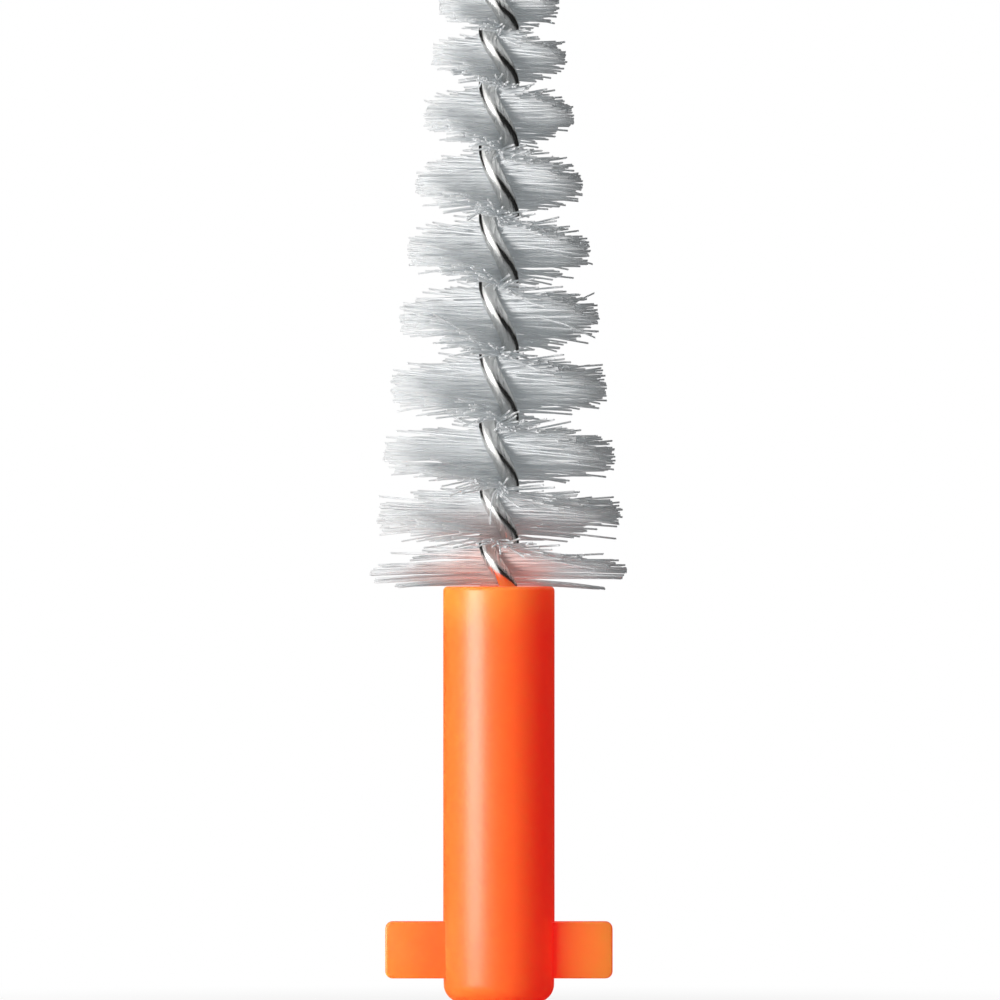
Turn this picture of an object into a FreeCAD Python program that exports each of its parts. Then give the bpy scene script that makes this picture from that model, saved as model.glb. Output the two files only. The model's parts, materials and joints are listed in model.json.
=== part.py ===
"""Interdental brush refill: a moulded plug, a twisted wire stem and the bristles pinched in its twist.

Millimetres, +Z up. The origin is the centre of the plug's foot, and the brush points up the Z axis.
Seen from the front (from -Y, with +X to the right) the plug's lugs stand out to the left and right.
"""

import FreeCAD
import Part
import bisect
import math
import os

from FreeCAD import Vector

# Plug: the moulded end that a handle holds
shank_d = 2.45
shank_length = 7.37  # from the lugs' seats to the mouth, where the wire comes out
mouth_round = 0.10
lug_span = 5.0  # over both lugs
lug_height = 1.25
lug_thickness = 0.65  # from front to back
lug_corner_round = 0.16
lug_edge_round = 0.04
foot_height = 0.53  # below the lugs
foot_round = 0.40
foot_draft = 0.01  # how much the radius shrinks from the lugs' seats to the foot

# Stem: one wire, folded in two at the tip and twisted left-handed round the bristles
strand_d = 0.38
half_turn = 1.52  # height of a half turn in the middle of the brush
half_turn_shares = (0.78, 0.87, 1.00, 1.00, 0.97, 0.98, 0.97, 0.86, 0.72, 0.70, 0.70, 0.70)  # mouth to tip
first_crossing = 0.38  # from the mouth up to where a strand first crosses the front
anchor_half_turns = 4  # counted down from there, moulded into the plug
crown_rise = 0.62  # from the last crossing up to the top of the fold's centreline
crown_turn_share = 0.30  # how far the twist goes on in the fold, as a share of a half turn

# Bristles: straight nylon filaments, pinched at their middles, by turns against one strand and the other
bristle_d = 0.06
bristle_gap = 0.006  # between neighbours, up the stem
pinch_clearance = 0.005  # between a filament and the strand it lies against
base_radius = 2.90  # of the brush at the mouth
tip_radius = 0.92  # of the brush at the last crossing
side_bulge = 0.05  # of the brush's side, halfway up
trim_scatter_share = 0.03  # most that a filament falls short of the brush's radius

# Places that follow from the sizes
shank_r = shank_d / 2
foot_r = shank_r - foot_draft
seat_z = foot_height + lug_height
mouth_z = seat_z + shank_length
strand_r = strand_d / 2
stem_r = strand_r + bristle_d + pinch_clearance  # the strands stand two filaments apart
golden_share = (math.sqrt(5) - 1) / 2
axis = Vector(0, 0, 1)


def twist_heights():
    """Heights at which a strand crosses the front, a half turn apart, from inside the plug to the tip."""
    shares = half_turn_shares[:1] * anchor_half_turns + half_turn_shares
    heights = [mouth_z + first_crossing - half_turn * sum(shares[:anchor_half_turns])]
    for share in shares:
        heights.append(heights[-1] + half_turn * share)
    return heights


crossings = twist_heights()
last_crossing = len(crossings) - 1


def rate_at(crossing):
    """Half turns per millimetre where a strand crosses the front."""
    low = max(crossing - 1, 0)
    high = min(crossing + 1, last_crossing)
    return (high - low) / (crossings[high] - crossings[low])


def turn_and_rate(height):
    """Half turns from the lowest crossing up to a height, and half turns per millimetre there."""
    start = min(bisect.bisect_right(crossings, height), last_crossing) - 1
    rise = crossings[start + 1] - crossings[start]
    t = (height - crossings[start]) / rise
    leaving = rate_at(start) * rise
    arriving = rate_at(start + 1) * rise
    turn = start + t * (leaving + t * (3 - 2 * leaving - arriving + t * (leaving + arriving - 2)))
    rate = leaving + t * (6 - 4 * leaving - 2 * arriving + 3 * t * (leaving + arriving - 2))
    return turn, rate / rise


def strand_angle(turn):
    """Angle of the first strand round the axis: it crosses the front at even turns, left-handed going up."""
    return -math.pi / 2 - math.pi * turn


def strand_point(height):
    """A point on the first strand's centreline and the direction it climbs in."""
    turn, rate = turn_and_rate(height)
    angle = strand_angle(turn)
    point = Vector(stem_r * math.cos(angle), stem_r * math.sin(angle), height)
    swing = math.pi * rate * stem_r
    climb = Vector(swing * math.sin(angle), -swing * math.cos(angle), 1)
    return point, climb.normalize()


def half_turned(vector):
    """The same vector on the second strand, half a turn round the axis."""
    return Vector(-vector.x, -vector.y, vector.z)


def arc(start, direction, end):
    """Circular arc from start, leaving along direction, to end."""
    chord = end - start
    middle = (start + end) / 2
    side = direction - chord * (direction.dot(chord) / chord.dot(chord))
    half_angle = math.atan2(side.Length, direction.dot(chord) / chord.Length)
    sagitta = chord.Length / 2 * math.tan(half_angle / 2)
    return Part.Arc(start, middle + side.normalize() * sagitta, end).toShape()


def biarc(start, start_direction, end, end_direction):
    """Two tangent arcs that join two points with their directions."""
    chord = end - start
    both = start_direction + end_direction
    a = 2 * (1 - start_direction.dot(end_direction))
    b = 2 * chord.dot(both)
    reach = (-b + math.sqrt(b * b + 4 * a * chord.dot(chord))) / (2 * a)
    joint = (start + end + (start_direction - end_direction) * reach) / 2
    back = arc(end, end_direction * -1, joint)
    return [arc(start, start_direction, joint), back]


def stem_route():
    """Points and directions along the wire: up the first strand, over the crown and down the second."""
    heights = crossings[:1]
    for low, high in zip(crossings, crossings[1:]):
        heights += [(low + high) / 2, high]
    up = [strand_point(height) for height in heights]
    crown_angle = strand_angle(last_crossing + crown_turn_share)
    over = Vector(-math.cos(crown_angle), -math.sin(crown_angle), 0)
    crown = (Vector(0, 0, crossings[-1] + crown_rise), over)
    down = [(half_turned(point), half_turned(climb) * -1) for point, climb in reversed(up)]
    return up + [crown] + down


def make_stem():
    """One unbroken tube along the folded and twisted wire."""
    route = stem_route()
    edges = []
    for (start, leaving), (end, arriving) in zip(route, route[1:]):
        edges += biarc(start, leaving, end, arriving)
    path = Part.Wire(Part.__sortEdges__(edges))
    section = Part.Wire(Part.makeCircle(strand_r, *route[0]))
    tube = path.makePipeShell([section], True, False)
    bend = min(edge.Curve.Radius for edge in edges)
    drawn = math.pi * strand_r**2 * path.Length
    print(f"stem: {path.Length:.2f} mm of wire, tightest bend {bend:.3f} mm, strand radius {strand_r:.3f} mm")
    print(f"stem: volume over section times length {tube.Volume / drawn:.4f}")
    print(f"stem: least gap between its strands {strand_gap(route):.3f} mm, two filaments {2 * bristle_d:.3f} mm")
    return tube


def strand_gap(route):
    """Least gap between the twisted strands, measured on points along them."""
    samples = len(route) * 4
    step = (crossings[-1] - crossings[0]) / samples
    points = [strand_point(crossings[0] + step * n)[0] for n in range(samples + 1)]
    near = [(n, m) for n in range(samples + 1) for m in range(n, min(n + 8, samples + 1))]
    return min(points[n].distanceToPoint(half_turned(points[m])) for n, m in near) - strand_d


def make_plug(stem):
    """Round shank with two flat lugs and a rounded foot, moulded round the stem's lower end."""
    draft_z = seat_z - lug_edge_round
    corner = math.sqrt(0.5)
    foot_arc = Part.Arc(
        Vector(foot_r - foot_round, 0, 0),
        Vector(foot_r - foot_round * (1 - corner), 0, foot_round * (1 - corner)),
        Vector(foot_r, 0, foot_round),
    )
    mouth_arc = Part.Arc(
        Vector(shank_r, 0, mouth_z - mouth_round),
        Vector(shank_r - mouth_round * (1 - corner), 0, mouth_z - mouth_round * (1 - corner)),
        Vector(shank_r - mouth_round, 0, mouth_z),
    )
    outline = [
        Part.LineSegment(Vector(0, 0, 0), foot_arc.StartPoint),
        foot_arc,
        Part.LineSegment(foot_arc.EndPoint, Vector(shank_r, 0, draft_z)),
        Part.LineSegment(Vector(shank_r, 0, draft_z), mouth_arc.StartPoint),
        mouth_arc,
        Part.LineSegment(mouth_arc.EndPoint, Vector(0, 0, mouth_z)),
        Part.LineSegment(Vector(0, 0, mouth_z), Vector(0, 0, 0)),
    ]
    face = Part.Face(Part.Wire([curve.toShape() for curve in outline]))
    shank = face.revolve(Vector(0, 0, 0), axis, 360)
    return shank.fuse(make_lugs()).cut(stem)


def make_lugs():
    """One flat bar across the plug, with rounded corners and softened edges: its two ends are the lugs."""
    corner = Vector(-lug_span / 2, -lug_thickness / 2, foot_height)
    bar = Part.makeBox(lug_span, lug_thickness, lug_height, corner)
    corners = [edge for edge in bar.Edges if abs(edge.tangentAt(edge.FirstParameter).y) > 0.5]
    bar = bar.makeFillet(lug_corner_round, corners)
    rims = [face for face in bar.Faces if abs(face.normalAt(0, 0).y) > 0.5]
    return bar.makeFillet(lug_edge_round, rims[0].Edges + rims[1].Edges)


def brush_radius(height):
    """Radius that the bristles are trimmed to, tapering from the mouth of the plug to the last crossing."""
    share = (height - mouth_z) / (crossings[-1] - mouth_z)
    return base_radius + (tip_radius - base_radius) * share + side_bulge * 4 * share * (1 - share)


def scatter(number):
    """A repeatable spread of values from 0 to 1."""
    return number * golden_share % 1


def make_bristle(height, number):
    """One filament across the stem, square to the line between the two strands and beside one of them."""
    angle = strand_angle(turn_and_rate(height)[0])
    to_strand = Vector(math.cos(angle), math.sin(angle), 0) * (-1) ** number
    along = axis.cross(to_strand)
    reach = brush_radius(height) * (1 - trim_scatter_share * scatter(number))
    middle = axis * height + to_strand * bristle_d / 2
    return Part.makeCylinder(bristle_d / 2, 2 * reach, middle - along * reach, along)


def bristle_rows():
    """The filaments, grouped by the half turn that they climb with: a row for each crossing at the front."""
    lowest = mouth_z + bristle_d / 2 + pinch_clearance
    step = bristle_d + bristle_gap
    rows = {}
    for number in range(int((crossings[-1] - lowest) / step) + 1):
        height = lowest + step * number
        row = round(turn_and_rate(height)[0]) - anchor_half_turns + 1
        rows.setdefault(row, []).append(make_bristle(height, number))
    return rows


def main():
    os.makedirs("parts", exist_ok=True)
    stem = make_stem()
    stem.exportStep("parts/stem_wire.step")
    make_plug(stem).exportStep("parts/plug.step")
    for row, filaments in bristle_rows().items():
        Part.makeCompound(filaments).exportStep(f"parts/bristle_row_{row:02d}.step")
        print(f"bristle_row_{row:02d}: {len(filaments)} filaments")


main()
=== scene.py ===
"""Looks of an interdental brush refill: its moulded plug, its twisted wire and its nylon bristles.

Metres throughout, in the frame of the construction: the foot of the plug stands on the origin, +Z runs up the
brush, and the photograph looks along +Y. The file is laid out as an add-on and run as a script.
"""

import bisect
import json
import math
import random

import bmesh
import bpy
from bpy.props import FloatProperty, FloatVectorProperty, IntProperty, PointerProperty
from mathutils import Matrix, Vector
from mathutils.geometry import interpolate_bezier


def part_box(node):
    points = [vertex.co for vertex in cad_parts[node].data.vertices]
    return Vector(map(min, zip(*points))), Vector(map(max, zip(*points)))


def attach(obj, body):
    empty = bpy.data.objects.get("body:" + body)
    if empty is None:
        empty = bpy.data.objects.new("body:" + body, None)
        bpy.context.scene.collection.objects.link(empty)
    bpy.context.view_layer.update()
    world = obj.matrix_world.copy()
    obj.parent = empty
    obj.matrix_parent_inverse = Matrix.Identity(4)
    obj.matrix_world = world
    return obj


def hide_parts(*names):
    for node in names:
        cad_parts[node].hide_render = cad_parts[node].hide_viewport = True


bl_info = {
    "name": "Interdental Brush Refill",
    "version": (1, 0, 0),
    "blender": (4, 5, 0),
    "location": "View3D > Sidebar > Brush",
    "description": "Models the plug, the twisted wire and the bristles of an interdental brush refill",
    "category": "Object",
}

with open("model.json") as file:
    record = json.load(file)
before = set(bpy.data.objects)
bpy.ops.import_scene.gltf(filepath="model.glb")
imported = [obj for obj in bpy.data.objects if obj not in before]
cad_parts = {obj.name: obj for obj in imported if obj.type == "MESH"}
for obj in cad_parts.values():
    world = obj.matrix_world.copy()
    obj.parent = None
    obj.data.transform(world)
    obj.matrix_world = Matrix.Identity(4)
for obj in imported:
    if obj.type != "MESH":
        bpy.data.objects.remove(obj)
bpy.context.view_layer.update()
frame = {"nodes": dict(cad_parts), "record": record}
mounts = {mount["name"]: mount for mount in frame["record"]["mounts"]}
plug_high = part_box("plug")[1]
stem_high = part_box("stem_wire")[1]
row_nodes = sorted(node for node in frame["nodes"] if node.startswith("bristle_row"))

BODY = "root"
UP = Vector((0, 0, 1))
MOUTH = plug_high.z
SHANK_RADIUS = mounts["shank"]["dims"]["r_mm"] / 1000

# Half turns of the wire from the plug's mouth to the tip, as shares of a half turn in the middle of the brush
HALF_TURN_SHARES = (0.78, 0.87, 1.00, 1.00, 0.97, 0.98, 0.97, 0.86, 0.72, 0.70, 0.70, 0.70)

# Half turns moulded into the plug, counted down from where a strand first crosses the front
ANCHOR_HALF_TURNS = 4

# Grain of each surface: coarse and fine spots per metre, spread of the roughness and height of the bumps
PLUG_GRAIN = {"coarse": 420, "fine": 9000, "spread": 0.10, "height": 0.000002}
STEEL_GRAIN = {"coarse": 9000, "fine": 30000, "spread": 0.12, "height": 0.000003}
NYLON_GRAIN = {"coarse": 2000, "fine": 16000, "spread": 0.12, "height": 0.000001}

# How far the drawn lines of the steel stretch along the wire
DRAWN_SCALE = (1, 1, 0.03)

# What is the same all over each surface
PLUG_FINISH = {
    "Subsurface Weight": 1.0,
    "Subsurface Radius": (1.0, 0.05, 0.04),
    # painted glow: red light given off by the plug, though it is no lamp, standing in for light carried
    # through to the shaded side
    "Emission Color": (1, 0.004, 0.014, 1),
    "IOR": 1.49,
    "Specular IOR Level": 0.4,
}
NYLON_FINISH = {
    "Subsurface Weight": 1.0,
    "Subsurface Radius": (1.0, 1.0, 1.0),
    "Subsurface Scale": 0.0001,
    "Transmission Weight": 0.25,
    # painted glow: light given off by the nylon, though it is no lamp, standing in for light carried through
    # the filaments
    "Emission Color": (0.92, 0.97, 1.0, 1),
    "IOR": 1.53,
}
FLOOR_FINISH = {"Base Color": (0.5, 0.5, 0.5, 1), "Roughness": 0.9}
CARD_FINISH = {"Base Color": (0.012, 0.012, 0.012, 1), "Roughness": 1.0}

# Painted warm light of the plug on the nylon: where it is strongest, how far it is full and how far it goes
WARM_CENTRE = (-0.0004, 0, MOUTH)
WARM_CORE = 0.0004
WARM_REACH = 0.0021

# The shadow on the floor: its share of what the floor shows under the brush, and how far it goes
SHADOW_SHARE = 0.12
SHADOW_REACH = 0.02


def length(name, default, description):
    """A size in metres that a user can change."""
    return FloatProperty(name=name, description=description, default=default, unit="LENGTH", precision=5)


def colour(name, default, description):
    """A colour that a user can change."""
    limits = {"min": 0, "max": 1}
    return FloatVectorProperty(name=name, description=description, default=default, subtype="COLOR", **limits)


def share(name, default, description):
    """A share from 0 to 1 that a user can change."""
    return FloatProperty(name=name, description=description, default=default, subtype="FACTOR", min=0, max=1)


def degrees(name, default, description):
    """An angle, given in degrees, that a user can change."""
    return FloatProperty(name=name, description=description, default=math.radians(default), subtype="ANGLE")


def watts(name, default, description):
    """The power of a lamp that a user can change."""
    return FloatProperty(name=name, description=description, default=default, unit="POWER")


class PlugSettings(bpy.types.PropertyGroup):
    """Sizes and finish of the moulded plug"""

    shank_radius: length("Shank radius", SHANK_RADIUS, "Radius of the round shank")
    seat_height: length("Seat height", mounts["shank"]["pos_m"][2], "Height of the lugs' upper faces")
    lug_reach: length("Lug reach", plug_high.x, "From the axis to the outer end of a lug")
    lug_height: length("Lug height", 0.00125, "Height of the lugs")
    lug_thickness: length("Lug thickness", 0.00065, "Depth of the lugs, from front to back")
    lug_corner: length("Lug corner", 0.00016, "Radius of the lugs' outer corners")
    lug_edge: length("Lug edge", 0.00004, "Radius along the lugs' front and back edges")
    foot_round: length("Foot rounding", 0.0004, "Radius round the foot")
    foot_draft: length("Foot draft", 0.00001, "How much the radius shrinks from the seats to the foot")
    mouth_round: length("Mouth rounding", 0.0001, "Radius round the mouth")
    plastic: colour("Plastic", (0.99, 0.24, 0.035), "Colour of the plug")
    # painted light: a paler colour at the mouth and the lugs' ends, standing in for light that shines through
    # the thin plastic
    painted_end_light: colour("Pale plastic", (0.99, 0.36, 0.05), "Colour at the mouth and at the lugs' ends")
    roughness: share("Roughness", 0.37, "Roughness of the moulded surface")
    glow_depth: length("Glow depth", 0.0025, "How deep red light spreads in the plastic")
    # painted glow: the strength of an emission that lights the plug's shaded side red
    painted_glow: share("Glow", 0.45, "Strength of the red light that the bright pigment gives off")


class StemSettings(bpy.types.PropertyGroup):
    """Sizes and finish of the folded and twisted wire"""

    strand_radius: length("Strand radius", 0.00019, "Radius of the wire")
    half_turn: length("Half turn", 0.00152, "Height of a half turn in the middle of the brush")
    first_crossing: length("First crossing", 0.00038, "From the mouth to a strand's first crossing in front")
    crown_rise: length("Crown rise", 0.00062, "From the last crossing to the top of the fold's centreline")
    steel: colour("Steel", (0.82, 0.81, 0.79), "Colour of the wire")
    roughness: share("Roughness", 0.17, "Roughness of the drawn surface")


class BristleSettings(bpy.types.PropertyGroup):
    """Sizes, set and finish of the filaments"""

    radius: length("Filament radius", 0.000022, "Radius of a filament")
    spacing: length("Spacing", 0.000009, "Height from one filament to the next")
    base_radius: length("Base radius", 0.0029, "Radius of the brush at the mouth")
    tip_radius: length("Tip radius", 0.00092, "Radius of the brush at the last crossing")
    side_bulge: length("Side bulge", 0.00005, "How far the brush's side swells halfway up")
    lean: degrees("Lean", 2.2, "Usual lean of a filament")
    fan: degrees("Fan", 23, "Most that a filament swings")
    bow: share("Bow", 0.025, "Usual bow of a filament, as a share of its reach")
    droop: share("Droop", 0.05, "How far the lowest filaments sag, as a share of their reach")
    droop_height: length("Droop height", 0.0004, "Height above the mouth by which the sag has halved")
    free_height: length("Free height", 0.0011, "Height above the mouth from where the filaments fan freely")
    trim: share("Trim", 0.03, "How unevenly the filaments are trimmed, as a share of their reach")
    strays: share("Strays", 0.006, "Share of the filaments' ends that stand out of their row")
    stray_bow: share("Stray bow", 0.16, "Usual bow of those ends, as a share of their reach")
    bare: share("Bare", 0.72, "Share of the filaments that is missing at the mouth")
    cling: share("Cling", 0.85, "How closely the filaments at the mouth cling together in tufts")
    tuft_height: length("Tuft height", 0.00014, "Height up the stem that the filaments of one tuft come from")
    thin_height: length("Thin height", 0.00045, "Height above the mouth by which bare and cling halve")
    seed: IntProperty(name="Seed", description="Seed of the filaments' scatter", default=31)
    nylon: colour("Nylon", (0.94, 0.965, 0.98), "Colour of the filaments")
    # painted light: a pink tint next to the plug, standing in for the plug's light on the nylon
    painted_plug_light: colour("Warm nylon", (1.0, 0.64, 0.58), "Colour next to the plug, whose light it carries")
    roughness: share("Roughness", 0.42, "Roughness of the filaments")
    # painted glow: the strength of an emission that brightens the nylon
    painted_glow: share("Glow", 0.042, "Strength of the light that the clear nylon carries along inside it")


class StageSettings(bpy.types.PropertyGroup):
    """Camera and light"""

    picture_width: length("Picture width", 0.022, "What the picture spans at the brush")
    picture_centre: length("Picture centre", 0.01105, "Height of the middle of the picture")
    axis_offset: length("Axis offset", 0.000024, "How far the brush stands left of the picture's middle")
    camera_distance: length("Camera distance", 0.5, "From the camera to the brush")
    key_power: watts("Key power", 0.5, "Power of the soft light")
    back_power: watts("Back power", 0.55, "Power of the light behind")
    fill: share("Fill", 0.015, "Strength of the light from all round")


class BrushSettings(bpy.types.PropertyGroup):
    """Everything that a user can change"""

    plug: PointerProperty(type=PlugSettings)
    stem: PointerProperty(type=StemSettings)
    bristles: PointerProperty(type=BristleSettings)
    stage: PointerProperty(type=StageSettings)


def mesh_of(bm, name):
    """The finished mesh of a bmesh, with its normals outwards and smooth shading."""
    bmesh.ops.recalc_face_normals(bm, faces=bm.faces)
    mesh = bpy.data.meshes.new(name)
    bm.to_mesh(mesh)
    bm.free()
    mesh.shade_smooth()
    return mesh


def show(name, mesh):
    """A new object in the scene, at the origin."""
    piece = bpy.data.objects.new(name, mesh)
    bpy.context.scene.collection.objects.link(piece)
    return piece


def dress(piece, material, slot, *nodes):
    """Gives a piece its finish and puts it in the place of the construction's own nodes."""
    piece.data.materials.append(material)
    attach(piece, BODY)
    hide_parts(*nodes)


def sweep(bm, route, radius, sides, place_layer):
    """A closed round bar along a route. The layer gets each vertex's place on the bar laid straight."""
    directions = [(after - before).normalized() for before, after in zip(route, route[1:])]
    tangents = [directions[0]]
    tangents += [(before + after).normalized() for before, after in zip(directions, directions[1:])]
    tangents.append(directions[-1])
    start = Matrix.Translation(route[0]) @ UP.rotation_difference(tangents[0]).to_matrix().to_4x4()
    ring = bmesh.ops.create_circle(bm, cap_ends=True, radius=radius, segments=sides, matrix=start)["verts"]
    for vert in ring:
        vert[place_layer] = start.inverted() @ vert.co
    edges = list({edge for vert in ring for edge in vert.link_edges})
    for here, there, turned_from, turned_to in zip(route, route[1:], tangents, tangents[1:]):
        turn = turned_from.rotation_difference(turned_to).to_matrix().to_4x4()
        move = Matrix.Translation(there) @ turn @ Matrix.Translation(-here)
        grown = bmesh.ops.extrude_edge_only(bm, edges=edges)["geom"]
        ring = [item for item in grown if isinstance(item, bmesh.types.BMVert)]
        edges = [item for item in grown if isinstance(item, bmesh.types.BMEdge)]
        bmesh.ops.transform(bm, matrix=move, verts=ring)
        for vert in ring:
            vert[place_layer] += UP * (there - here).length
    bmesh.ops.contextual_create(bm, geom=edges)


def ramp(tree, value, start=0.0, end=1.0, low=0.0, high=1.0):
    """Maps a value smoothly from one range onto another."""
    node = tree.nodes.new("ShaderNodeMapRange")
    node.interpolation_type = "SMOOTHSTEP"
    for socket, number in (("From Min", start), ("From Max", end), ("To Min", low), ("To Max", high)):
        node.inputs[socket].default_value = number
    tree.links.new(value, node.inputs["Value"])
    return node.outputs["Result"]


def maths(tree, operation, *values):
    """A maths operation on other nodes' outputs."""
    node = tree.nodes.new("ShaderNodeMath")
    node.operation = operation
    for value, socket in zip(values, node.inputs):
        tree.links.new(value, socket)
    return node.outputs[0]


def surface_group():
    """Node group for a surface that varies a little: a coarse tone, a fine roughness and a fine height."""
    name = "Surface variation"
    if name in bpy.data.node_groups:
        return bpy.data.node_groups[name]
    group = bpy.data.node_groups.new(name, "ShaderNodeTree")
    face = group.interface
    face.new_socket("Vector", in_out="INPUT", socket_type="NodeSocketVector")
    for socket, default in (("Coarse Scale", 1.0), ("Fine Scale", 1.0), ("Roughness", 0.5), ("Spread", 0.1)):
        face.new_socket(socket, in_out="INPUT", socket_type="NodeSocketFloat").default_value = default
    for socket in ("Tone", "Roughness", "Height"):
        face.new_socket(socket, in_out="OUTPUT", socket_type="NodeSocketFloat")
    inside = group.nodes.new("NodeGroupInput")
    outside = group.nodes.new("NodeGroupOutput")
    link = group.links.new
    coarse = group.nodes.new("ShaderNodeTexNoise")
    link(inside.outputs["Vector"], coarse.inputs["Vector"])
    link(inside.outputs["Coarse Scale"], coarse.inputs["Scale"])
    fine = group.nodes.new("ShaderNodeTexNoise")
    fine.inputs["Detail"].default_value = 4.0
    link(inside.outputs["Vector"], fine.inputs["Vector"])
    link(inside.outputs["Fine Scale"], fine.inputs["Scale"])
    centred = group.nodes.new("ShaderNodeMath")
    centred.operation = "SUBTRACT"
    centred.inputs[1].default_value = 0.5
    link(fine.outputs["Fac"], centred.inputs[0])
    shares = (centred.outputs[0], inside.outputs["Spread"], inside.outputs["Roughness"])
    link(coarse.outputs["Fac"], outside.inputs["Tone"])
    link(maths(group, "MULTIPLY_ADD", *shares), outside.inputs["Roughness"])
    link(fine.outputs["Fac"], outside.inputs["Height"])
    return group


def new_material(name):
    """An empty node material: its tree and its surface shader."""
    material = bpy.data.materials.new(name)
    material.use_nodes = True
    return material, material.node_tree, material.node_tree.nodes["Principled BSDF"]


def set_sockets(shader, values):
    """Sets what is the same all over a surface."""
    for socket, value in values.items():
        shader.inputs[socket].default_value = value


def vary(tree, shader, vector, roughness, coarse, fine, spread, height):
    """Feeds the surface variation into a shader's roughness and normal, and returns its tone."""
    group = tree.nodes.new("ShaderNodeGroup")
    group.node_tree = surface_group()
    tree.links.new(vector, group.inputs["Vector"])
    set_sockets(group, {"Coarse Scale": coarse, "Fine Scale": fine, "Roughness": roughness, "Spread": spread})
    bump = tree.nodes.new("ShaderNodeBump")
    bump.inputs["Distance"].default_value = height
    tree.links.new(group.outputs["Height"], bump.inputs["Height"])
    tree.links.new(bump.outputs["Normal"], shader.inputs["Normal"])
    tree.links.new(group.outputs["Roughness"], shader.inputs["Roughness"])
    return group.outputs["Tone"]


def scaled(rgb, factor):
    """A colour made lighter or darker."""
    return tuple(min(1.0, channel * factor) for channel in rgb)


def mottled(tree, tone, rgb, darker, lighter):
    """A colour that runs with a tone from a darker to a lighter shade of itself."""
    mix = tree.nodes.new("ShaderNodeMix")
    mix.data_type = "RGBA"
    mix.inputs["A"].default_value = (*scaled(rgb, darker), 1)
    mix.inputs["B"].default_value = (*scaled(rgb, lighter), 1)
    tree.links.new(tone, mix.inputs["Factor"])
    return mix.outputs["Result"]


def tinted(tree, base, tint, mask):
    """A colour from another node, drawn towards a tint where a mask says so."""
    mix = tree.nodes.new("ShaderNodeMix")
    mix.data_type = "RGBA"
    mix.inputs["B"].default_value = (*tint, 1)
    tree.links.new(base, mix.inputs["A"])
    tree.links.new(mask, mix.inputs["Factor"])
    return mix.outputs["Result"]


def plug_plastic(plug):
    """Glossy orange plastic that red light spreads far into, with a painted red glow and a paler colour
    painted at the mouth and the lugs' ends where light shines through.
    """
    material, tree, shader = new_material("plug_plastic")
    place = tree.nodes.new("ShaderNodeTexCoord").outputs["Object"]
    tone = vary(tree, shader, place, plug.roughness, **PLUG_GRAIN)
    body = mottled(tree, tone, plug.plastic, darker=0.95, lighter=1.04)
    # paler colour painted where light shines through the mouth and the lugs' ends
    painted_ends = tinted(tree, body, plug.painted_end_light, thin_ends(tree, place, plug))
    tree.links.new(painted_ends, shader.inputs["Base Color"])
    set_sockets(shader, PLUG_FINISH)
    shader.inputs["Subsurface Scale"].default_value = plug.glow_depth
    # painted red glow on the shaded side
    shader.inputs["Emission Strength"].default_value = plug.painted_glow
    return material


def thin_ends(tree, place, plug):
    """How near a place is to the mouth or to the outer ends of the lugs, from 0 to 1: the mask of the paler
    colour painted where light shines through.
    """
    axes = tree.nodes.new("ShaderNodeSeparateXYZ")
    tree.links.new(place, axes.inputs[0])
    sideways = maths(tree, "ABSOLUTE", axes.outputs["X"])
    to_lug_ends = ramp(tree, sideways, plug.shank_radius, plug.lug_reach)
    to_mouth = ramp(tree, axes.outputs["Z"], MOUTH - plug.shank_radius, MOUTH)
    return maths(tree, "MAXIMUM", to_lug_ends, to_mouth)


def stem_steel(stem):
    """Bright drawn steel with fine lines along the wire."""
    material, tree, shader = new_material("stem_steel")
    place = tree.nodes.new("ShaderNodeAttribute")
    place.attribute_name = "wire_place"
    drawn = tree.nodes.new("ShaderNodeMapping")
    drawn.inputs["Scale"].default_value = DRAWN_SCALE
    tree.links.new(place.outputs["Vector"], drawn.inputs["Vector"])
    tone = vary(tree, shader, drawn.outputs["Vector"], stem.roughness, **STEEL_GRAIN)
    tree.links.new(mottled(tree, tone, stem.steel, darker=0.86, lighter=1.06), shader.inputs["Base Color"])
    shader.inputs["Metallic"].default_value = 1.0
    return material


def bristle_nylon(bristles):
    """White nylon: each filament has its own tone, light passes a little way into it, a painted glow
    brightens it, and a painted pink tint near the mouth stands in for the plug's light.
    """
    material, tree, shader = new_material("bristle_nylon")
    place = tree.nodes.new("ShaderNodeTexCoord").outputs["Object"]
    vary(tree, shader, place, bristles.roughness, **NYLON_GRAIN)
    own = tree.nodes.new("ShaderNodeAttribute")
    own.attribute_name = "filament_tone"
    body = mottled(tree, own.outputs["Fac"], bristles.nylon, darker=0.94, lighter=1.02)
    # pink tint painted near the mouth, standing in for the plug's light
    painted_warm = tinted(tree, body, bristles.painted_plug_light, near_mouth(tree, place))
    tree.links.new(painted_warm, shader.inputs["Base Color"])
    set_sockets(shader, NYLON_FINISH)
    # painted glow that brightens the nylon
    shader.inputs["Emission Strength"].default_value = bristles.painted_glow
    return material


def near_mouth(tree, place):
    """How near a place is to the mouth of the plug, on its lit side, from 0 to 1: the mask of the plug's
    painted warm light.
    """
    away = tree.nodes.new("ShaderNodeVectorMath")
    away.operation = "DISTANCE"
    away.inputs[1].default_value = WARM_CENTRE
    tree.links.new(place, away.inputs[0])
    return ramp(tree, away.outputs["Value"], WARM_REACH, WARM_CORE)


def quarter(centre, radius, start, steps):
    """Points of a quarter circle in the XZ plane, anticlockwise from an angle."""
    angles = [start + math.pi / 2 * step / steps for step in range(steps + 1)]
    return [centre + radius * Vector((math.cos(angle), 0, math.sin(angle))) for angle in angles]


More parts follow.
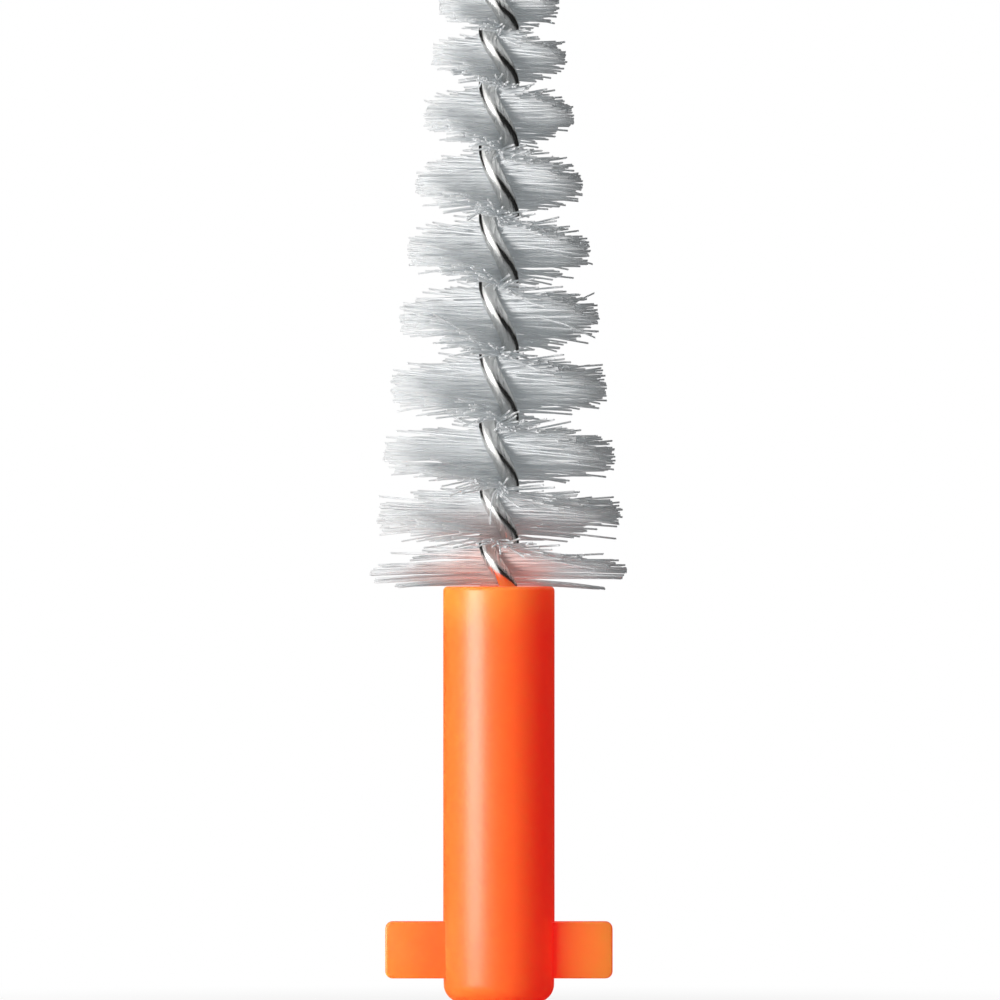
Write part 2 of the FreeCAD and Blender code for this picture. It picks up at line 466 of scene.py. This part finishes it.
class BRUSH_OT_make_plug(bpy.types.Operator):
    """Model the moulded plug: a round shank with two lugs and a rounded foot"""

    bl_idname = "interdental_brush.make_plug"
    bl_label = "Make plug"

    TURN_STEPS = 96
    FOOT_STEPS = 10
    MOUTH_STEPS = 6
    CORNER_SEGMENTS = 6
    EDGE_SEGMENTS = 3
    SHARP_ANGLE = math.radians(32)
    WELD = 1e-7

    def execute(self, context):
        plug = context.scene.interdental_brush.plug
        body = show("moulded_plug", self.turned_body(plug))
        lugs = show("plug_lugs", self.lug_bar(plug))
        union = body.modifiers.new("lugs", "BOOLEAN")
        union.operation = "UNION"
        union.solver = "EXACT"
        union.object = lugs
        joined = body.evaluated_get(context.evaluated_depsgraph_get())
        mesh = bpy.data.meshes.new_from_object(joined)
        body.modifiers.clear()
        body.data = mesh
        bpy.data.objects.remove(lugs)
        mesh.shade_smooth()
        mesh.set_sharp_from_angle(angle=self.SHARP_ANGLE)
        dress(body, plug_plastic(plug), "plug_plastic", "plug")
        return {"FINISHED"}

    def turned_body(self, plug):
        """Shank and foot, turned round the axis."""
        foot_radius = plug.shank_radius - plug.foot_draft
        foot_centre = Vector((foot_radius - plug.foot_round, 0, plug.foot_round))
        mouth_centre = Vector((plug.shank_radius - plug.mouth_round, 0, MOUTH - plug.mouth_round))
        outline = [Vector((0, 0, 0))]
        outline += quarter(foot_centre, plug.foot_round, -math.pi / 2, self.FOOT_STEPS)
        outline.append(Vector((plug.shank_radius, 0, plug.seat_height)))
        outline += quarter(mouth_centre, plug.mouth_round, 0, self.MOUTH_STEPS)
        outline.append(Vector((0, 0, MOUTH)))
        bm = bmesh.new()
        verts = [bm.verts.new(point) for point in outline]
        edges = [bm.edges.new(pair) for pair in zip(verts, verts[1:])]
        turn = {"cent": (0, 0, 0), "axis": UP, "angle": 2 * math.pi, "steps": self.TURN_STEPS}
        bmesh.ops.spin(bm, geom=verts + edges, use_merge=True, **turn)
        bmesh.ops.remove_doubles(bm, verts=bm.verts, dist=self.WELD)
        return mesh_of(bm, "plug")

    def lug_bar(self, plug):
        """One bar across the plug, whose two ends are the lugs."""
        bm = bmesh.new()
        size = Vector((2 * plug.lug_reach, plug.lug_thickness, plug.lug_height))
        middle = Vector((0, 0, plug.seat_height - plug.lug_height / 2))
        place = Matrix.Translation(middle) @ Matrix.Diagonal(size).to_4x4()
        bmesh.ops.create_cube(bm, size=1, matrix=place)
        corners = [edge for edge in bm.edges if abs((edge.verts[0].co - edge.verts[1].co).y) > 0]
        soften = {"affect": "EDGES", "profile": 0.5, "material": -1}
        bmesh.ops.bevel(bm, geom=corners, offset=plug.lug_corner, segments=self.CORNER_SEGMENTS, **soften)
        flat = [face for face in bm.faces if abs(face.normal.y) > 0.9]
        rims = [edge for face in flat for edge in face.edges]
        bmesh.ops.bevel(bm, geom=rims, offset=plug.lug_edge, segments=self.EDGE_SEGMENTS, **soften)
        return mesh_of(bm, "plug_lugs")


class Twist:
    """The twist of the wire: how far it has turned at any height."""

    def __init__(self, stem):
        shares = HALF_TURN_SHARES[:1] * ANCHOR_HALF_TURNS + HALF_TURN_SHARES
        below = stem.half_turn * sum(shares[:ANCHOR_HALF_TURNS])
        self.crossings = [MOUTH + stem.first_crossing - below]
        for part in shares:
            self.crossings.append(self.crossings[-1] + stem.half_turn * part)
        self.radius = stem_high.x - stem.strand_radius

    def rate(self, crossing):
        """Half turns per metre where a strand crosses the front."""
        low, high = max(crossing - 1, 0), min(crossing + 1, len(self.crossings) - 1)
        return (high - low) / (self.crossings[high] - self.crossings[low])

    def turn(self, height):
        """Half turns from the lowest crossing up to a height."""
        start = min(bisect.bisect_right(self.crossings, height), len(self.crossings) - 1) - 1
        rise = self.crossings[start + 1] - self.crossings[start]
        t = (height - self.crossings[start]) / rise
        leaving, arriving = self.rate(start) * rise, self.rate(start + 1) * rise
        return start + t * (leaving + t * (3 - 2 * leaving - arriving + t * (leaving + arriving - 2)))

    def angle(self, height):
        """Angle of the first strand round the axis: left-handed, crossing the front at even turns."""
        return -math.pi / 2 - math.pi * self.turn(height)

    def point(self, height):
        """A point on the first strand's centreline."""
        angle = self.angle(height)
        return Vector((self.radius * math.cos(angle), self.radius * math.sin(angle), height))


class BRUSH_OT_make_stem(bpy.types.Operator):
    """Model the stem: one wire, folded in two at the tip and twisted"""

    bl_idname = "interdental_brush.make_stem"
    bl_label = "Make stem"

    SIDES = 16
    STEPS_PER_HALF_TURN = 12
    CROWN_STEPS = 10
    CROWN_REACH = 0.6
    CROWN_TURN = 0.3
    SHARP_ANGLE = math.radians(50)

    def execute(self, context):
        stem = context.scene.interdental_brush.stem
        bm = bmesh.new()
        place = bm.verts.layers.float_vector.new("wire_place")
        sweep(bm, self.route(stem), stem.strand_radius, self.SIDES, place)
        mesh = mesh_of(bm, "stem_wire")
        mesh.set_sharp_from_angle(angle=self.SHARP_ANGLE)
        dress(show("twisted_stem", mesh), stem_steel(stem), "stem_steel", "stem_wire")
        return {"FINISHED"}

    def route(self, stem):
        """Points up the first strand, over the crown and down the second."""
        twist = Twist(stem)
        heights = [twist.crossings[0]]
        for low, high in zip(twist.crossings, twist.crossings[1:]):
            step = (high - low) / self.STEPS_PER_HALF_TURN
            heights += [low + step * (count + 1) for count in range(self.STEPS_PER_HALF_TURN)]
        up = [twist.point(height) for height in heights]
        half_turned = Matrix.Rotation(math.pi, 3, "Z")
        down = [half_turned @ point for point in reversed(up)]
        top = Vector((0, 0, twist.crossings[-1] + stem.crown_rise))
        climb = (up[-1] - up[-2]).normalized() * stem.crown_rise / 2
        over = (down[0] - up[-1]).normalized() * twist.radius * self.CROWN_REACH
        over.rotate(Matrix.Rotation(-self.CROWN_TURN * math.pi, 3, "Z"))
        crown = interpolate_bezier(up[-1], up[-1] + climb, top - over, top, self.CROWN_STEPS)
        falling = [half_turned @ point for point in reversed(crown)]
        return up + crown[1:] + falling[1:-1] + down


class Filament:
    """One filament across the stem: where it is pinched, and how its ends lie, clear of the plug's rim."""

    # Share of its usual scatter that a filament right at the mouth has
    LEAST_ROOM = 0.25

    def __init__(self, bristles, twist, height, layer, chance, tuft=None):
        room = min(1, self.LEAST_ROOM + (height - MOUTH) / bristles.free_height)
        self.height = height
        fanned = room * chance.triangular(-bristles.fan, bristles.fan)
        self.angle = twist.angle(height) + math.pi / 2 + fanned
        self.tone = chance.random()
        usual_lean = room * bristles.lean
        lean = math.tan(chance.gauss(0, usual_lean))
        droop = bristles.droop * halved(height, bristles.droop_height)
        self.ends = {}
        for side in (-1, 1):
            usual_bow = room * (bristles.stray_bow if chance.random() < bristles.strays else bristles.bow)
            reach = brush_radius(bristles, twist, height) * (1 - bristles.trim * abs(chance.gauss(0, 1)))
            rise = side * lean + math.tan(chance.gauss(0, usual_lean / 2))
            bow = chance.gauss(-droop, usual_bow)
            self.ends[side] = {"reach": reach, "rise": rise, "bow": bow, "swing": chance.gauss(0, usual_bow)}
        if tuft:
            self.join(tuft, bristles.cling * halved(height, bristles.thin_height))
        self.clear_rim(bristles.radius)
        self.out = Vector((math.cos(self.angle), math.sin(self.angle), 0))
        self.sideways = UP.cross(self.out)
        self.middle = Vector((0, 0, height)) + self.sideways * layer

    def join(self, tuft, hold):
        """Draws both ends towards those of the filament that leads the tuft."""
        self.angle += hold * (tuft.angle - self.angle)
        for side, end in self.ends.items():
            for name in ("rise", "bow", "swing"):
                end[name] += hold * (tuft.ends[side][name] - end[name])
            end["bow"] += hold * (tuft.height - self.height) / end["reach"]

    def clear_rim(self, radius):
        """Lifts both ends over the rim of the plug's mouth."""
        rim_slope = (MOUTH + radius - self.height) / SHANK_RADIUS
        for end in self.ends.values():
            end["rise"] = max(end["rise"], rim_slope - end["bow"] * SHANK_RADIUS / end["reach"])

    def point(self, along):
        """A point of the centreline, from -1 at one end through 0 at the pinch to 1 at the other end."""
        end = self.ends[-1 if along < 0 else 1]
        t = abs(along)
        bent = UP * (end["rise"] * t + end["bow"] * t * t) + self.sideways * end["swing"] * t * t
        return self.middle + (self.out * along + bent) * end["reach"]


def halved(height, step):
    """1 at the mouth of the plug, and half as much with each step up."""
    return 0.5 ** ((height - MOUTH) / step)


def brush_radius(bristles, twist, height):
    """Radius that the filaments are trimmed to at a height."""
    up = (height - MOUTH) / (twist.crossings[-1] - MOUTH)
    taper = bristles.base_radius + (bristles.tip_radius - bristles.base_radius) * up
    return taper + bristles.side_bulge * 4 * up * (1 - up)


class BRUSH_OT_make_bristles(bpy.types.Operator):
    """Model the bristles: filaments across the stem, pinched in its twist and trimmed to a cone"""

    bl_idname = "interdental_brush.make_bristles"
    bl_label = "Make bristles"

    SIDES = 5
    STEPS = 6
    LOWEST_IN_RADII = 1.05
    WELD = 1e-8

    def execute(self, context):
        settings = context.scene.interdental_brush
        bristles = settings.bristles
        twist = Twist(settings.stem)
        chance = random.Random(bristles.seed)
        rows = {node: [] for node in row_nodes}
        lowest = MOUTH + bristles.radius * self.LOWEST_IN_RADII
        tuft = None
        for number in range(int((twist.crossings[-1] - lowest) / bristles.spacing) + 1):
            height = lowest + number * bristles.spacing
            if not tuft or height > tuft.height + bristles.tuft_height / 2:
                tuft = Filament(bristles, twist, height + bristles.tuft_height / 2, 0, chance)
            if chance.random() < bristles.bare * halved(height, bristles.thin_height):
                continue
            row = round(twist.turn(height)) - ANCHOR_HALF_TURNS
            layer = bristles.radius * (-1) ** number
            rows[row_nodes[row]].append(Filament(bristles, twist, height, layer, chance, tuft))
        nylon = bristle_nylon(bristles)
        for node, filaments in rows.items():
            mesh = self.row_mesh(node, filaments, bristles.radius)
            dress(show(node.replace("bristle_row", "bristles"), mesh), nylon, "bristle_nylon", node)
        return {"FINISHED"}

    def row_mesh(self, name, filaments, radius):
        """The filaments of one half turn: each is a sheet rolled into a tube, with a tone of its own."""
        bm = bmesh.new()
        tone = bm.verts.layers.float.new("filament_tone")
        for filament in filaments:
            sheet = bmesh.ops.create_grid(bm, x_segments=self.SIDES, y_segments=self.STEPS, size=1)
            for vert in sheet["verts"]:
                around = math.pi * vert.co.x
                ring = filament.sideways * math.cos(around) + UP * math.sin(around)
                vert.co = filament.point(vert.co.y) + ring * radius
                vert[tone] = filament.tone
        bmesh.ops.remove_doubles(bm, verts=bm.verts, dist=self.WELD)
        bmesh.ops.holes_fill(bm, edges=bm.edges)
        return mesh_of(bm, name)


def floor_white():
    """Matte pale floor that shows as plain white, but for a share near the brush that takes its shadow."""
    material, tree, shader = new_material("floor_white")
    set_sockets(shader, FLOOR_FINISH)
    away = tree.nodes.new("ShaderNodeVectorMath")
    away.operation = "LENGTH"
    tree.links.new(tree.nodes.new("ShaderNodeTexCoord").outputs["Object"], away.inputs[0])
    white = ramp(tree, away.outputs["Value"], end=SHADOW_REACH, low=1 - SHADOW_SHARE)
    mix = tree.nodes.new("ShaderNodeMixShader")
    tree.links.new(maths(tree, "MULTIPLY", white, ray_seen(tree)), mix.inputs["Fac"])
    tree.links.new(shader.outputs[0], mix.inputs[1])
    tree.links.new(tree.nodes.new("ShaderNodeEmission").outputs[0], mix.inputs[2])
    tree.links.new(mix.outputs[0], tree.nodes["Material Output"].inputs["Surface"])
    return material


def card_black():
    """Matte black card."""
    material, _, shader = new_material("card_black")
    set_sockets(shader, CARD_FINISH)
    return material


def ray_seen(tree):
    """1 for what the camera sees, straight or in a reflection or through glass, and 0 for light."""
    path = tree.nodes.new("ShaderNodeLightPath").outputs
    mirrored = maths(tree, "MAXIMUM", path["Is Camera Ray"], path["Is Glossy Ray"])
    return maths(tree, "MAXIMUM", mirrored, path["Is Transmission Ray"])


class BRUSH_OT_make_stage(bpy.types.Operator):
    """Set up the floor, the soft light and the camera"""

    bl_idname = "interdental_brush.make_stage"
    bl_label = "Make stage"

    # Half the floor's width, and how far it lies below the foot
    FLOOR_SIZE = 3
    FLOOR_DROP = 0.00001

    # Each dark card: its first and last angle right of the camera, and its outline in radii and heights
    WALL = ((0.006, 0), (0.32, 0), (0.32, 0.25))
    CARDS = {
        "right_card": (-8, 195, WALL),
        "left_card": (-165, -92, WALL),
        "foot_card": (0, 360, ((0.00096, 0), (0.006, 0))),
    }
    CARD_STEPS = 24
    CARD_LIFT = 0.00002

    # Each panel light: its angle right of the camera, its distance, and its width and height
    KEY = (-51, 0.2, (0.12, 0.06))
    BACK = (180, 0.3, (0.4, 0.3))

    def execute(self, context):
        stage = context.scene.interdental_brush.stage
        self.floor()
        black = card_black()
        for name, (start, end, outline) in self.CARDS.items():
            self.dark_card(name, start, end, outline, black)
        self.panel_light("key", *self.KEY, stage.key_power)
        back = self.panel_light("back", *self.BACK, stage.back_power)
        back.visible_glossy = False
        self.world(context.scene, stage)
        self.camera(context.scene, stage)
        context.scene.view_settings.view_transform = "Standard"
        return {"FINISHED"}

    def floor(self):
        """A pale floor under the foot."""
        bm = bmesh.new()
        place = Matrix.Translation((0, 0, -self.FLOOR_DROP))
        bmesh.ops.create_grid(bm, x_segments=1, y_segments=1, size=self.FLOOR_SIZE, matrix=place)
        floor = show("floor", mesh_of(bm, "floor"))
        floor.data.materials.append(floor_white())

    def dark_card(self, name, start, end, outline, black):
        """A dark card round the brush that shows only in reflections."""
        bm = bmesh.new()
        angle = math.radians(start) - math.pi / 2
        out = Vector((math.cos(angle), math.sin(angle), 0))
        low = UP * self.CARD_LIFT
        verts = [bm.verts.new(out * radius + UP * height + low) for radius, height in outline]
        edges = [bm.edges.new(pair) for pair in zip(verts, verts[1:])]
        bend = {"angle": math.radians(end - start), "steps": self.CARD_STEPS, "use_merge": end - start == 360}
        bmesh.ops.spin(bm, geom=verts + edges, cent=(0, 0, 0), axis=UP, **bend)
        card = show(name, mesh_of(bm, name))
        card.data.materials.append(black)
        card.visible_camera = False
        card.visible_diffuse = False
        card.visible_transmission = False
        card.visible_shadow = False

    def panel_light(self, name, bearing, distance, size, power):
        """A soft panel that stands on the floor and faces the brush."""
        lamp = bpy.data.lights.new(name, "AREA")
        lamp.shape = "RECTANGLE"
        lamp.size, lamp.size_y = size
        lamp.energy = power
        panel = bpy.data.objects.new(name, lamp)
        turn = math.radians(bearing)
        panel.location = (distance * math.sin(turn), -distance * math.cos(turn), size[1] / 2)
        panel.rotation_euler = (math.pi / 2, 0, turn)
        panel.visible_camera = False
        bpy.context.scene.collection.objects.link(panel)
        return panel

    def world(self, scene, stage):
        """White to the camera, and an even fill light."""
        world = bpy.data.worlds.new("studio")
        world.use_nodes = True
        tree = world.node_tree
        background = tree.nodes["Background"]
        background.inputs["Color"].default_value = (1, 1, 1, 1)
        tree.links.new(ramp(tree, ray_seen(tree), low=stage.fill), background.inputs["Strength"])
        scene.world = world

    def camera(self, scene, stage):
        """A long lens, level with the middle of the picture."""
        lens = bpy.data.cameras.new("camera")
        lens.lens = stage.camera_distance * lens.sensor_width / stage.picture_width
        lens.clip_start = 0.01
        camera = bpy.data.objects.new("camera", lens)
        camera.location = (stage.axis_offset, -stage.camera_distance, stage.picture_centre)
        camera.rotation_euler = (math.pi / 2, 0, 0)
        scene.collection.objects.link(camera)
        scene.camera = camera


class BRUSH_PT_refill(bpy.types.Panel):
    """Sizes and colours of the brush, and the steps that make it"""

    bl_idname = "BRUSH_PT_refill"
    bl_label = "Interdental Brush"
    bl_space_type = "VIEW_3D"
    bl_region_type = "UI"
    bl_category = "Brush"

    def draw(self, context):
        settings = context.scene.interdental_brush
        for group, step in zip((settings.plug, settings.stem, settings.bristles, settings.stage), STEPS):
            box = self.layout.box()
            for prop in group.bl_rna.properties:
                if prop.identifier not in {"rna_type", "name"}:
                    box.prop(group, prop.identifier)
            box.operator(step.bl_idname)


STEPS = (BRUSH_OT_make_plug, BRUSH_OT_make_stem, BRUSH_OT_make_bristles, BRUSH_OT_make_stage)
GROUPS = (PlugSettings, StemSettings, BristleSettings, StageSettings, BrushSettings)
CLASSES = (*GROUPS, *STEPS, BRUSH_PT_refill)


def register():
    for cls in CLASSES:
        bpy.utils.register_class(cls)
    bpy.types.Scene.interdental_brush = PointerProperty(type=BrushSettings)


def unregister():
    del bpy.types.Scene.interdental_brush
    for cls in reversed(CLASSES):
        bpy.utils.unregister_class(cls)


def main():
    register()
    bpy.ops.interdental_brush.make_plug()
    bpy.ops.interdental_brush.make_stem()
    bpy.ops.interdental_brush.make_bristles()
    bpy.ops.interdental_brush.make_stage()


if __name__ == "__main__":
    main()
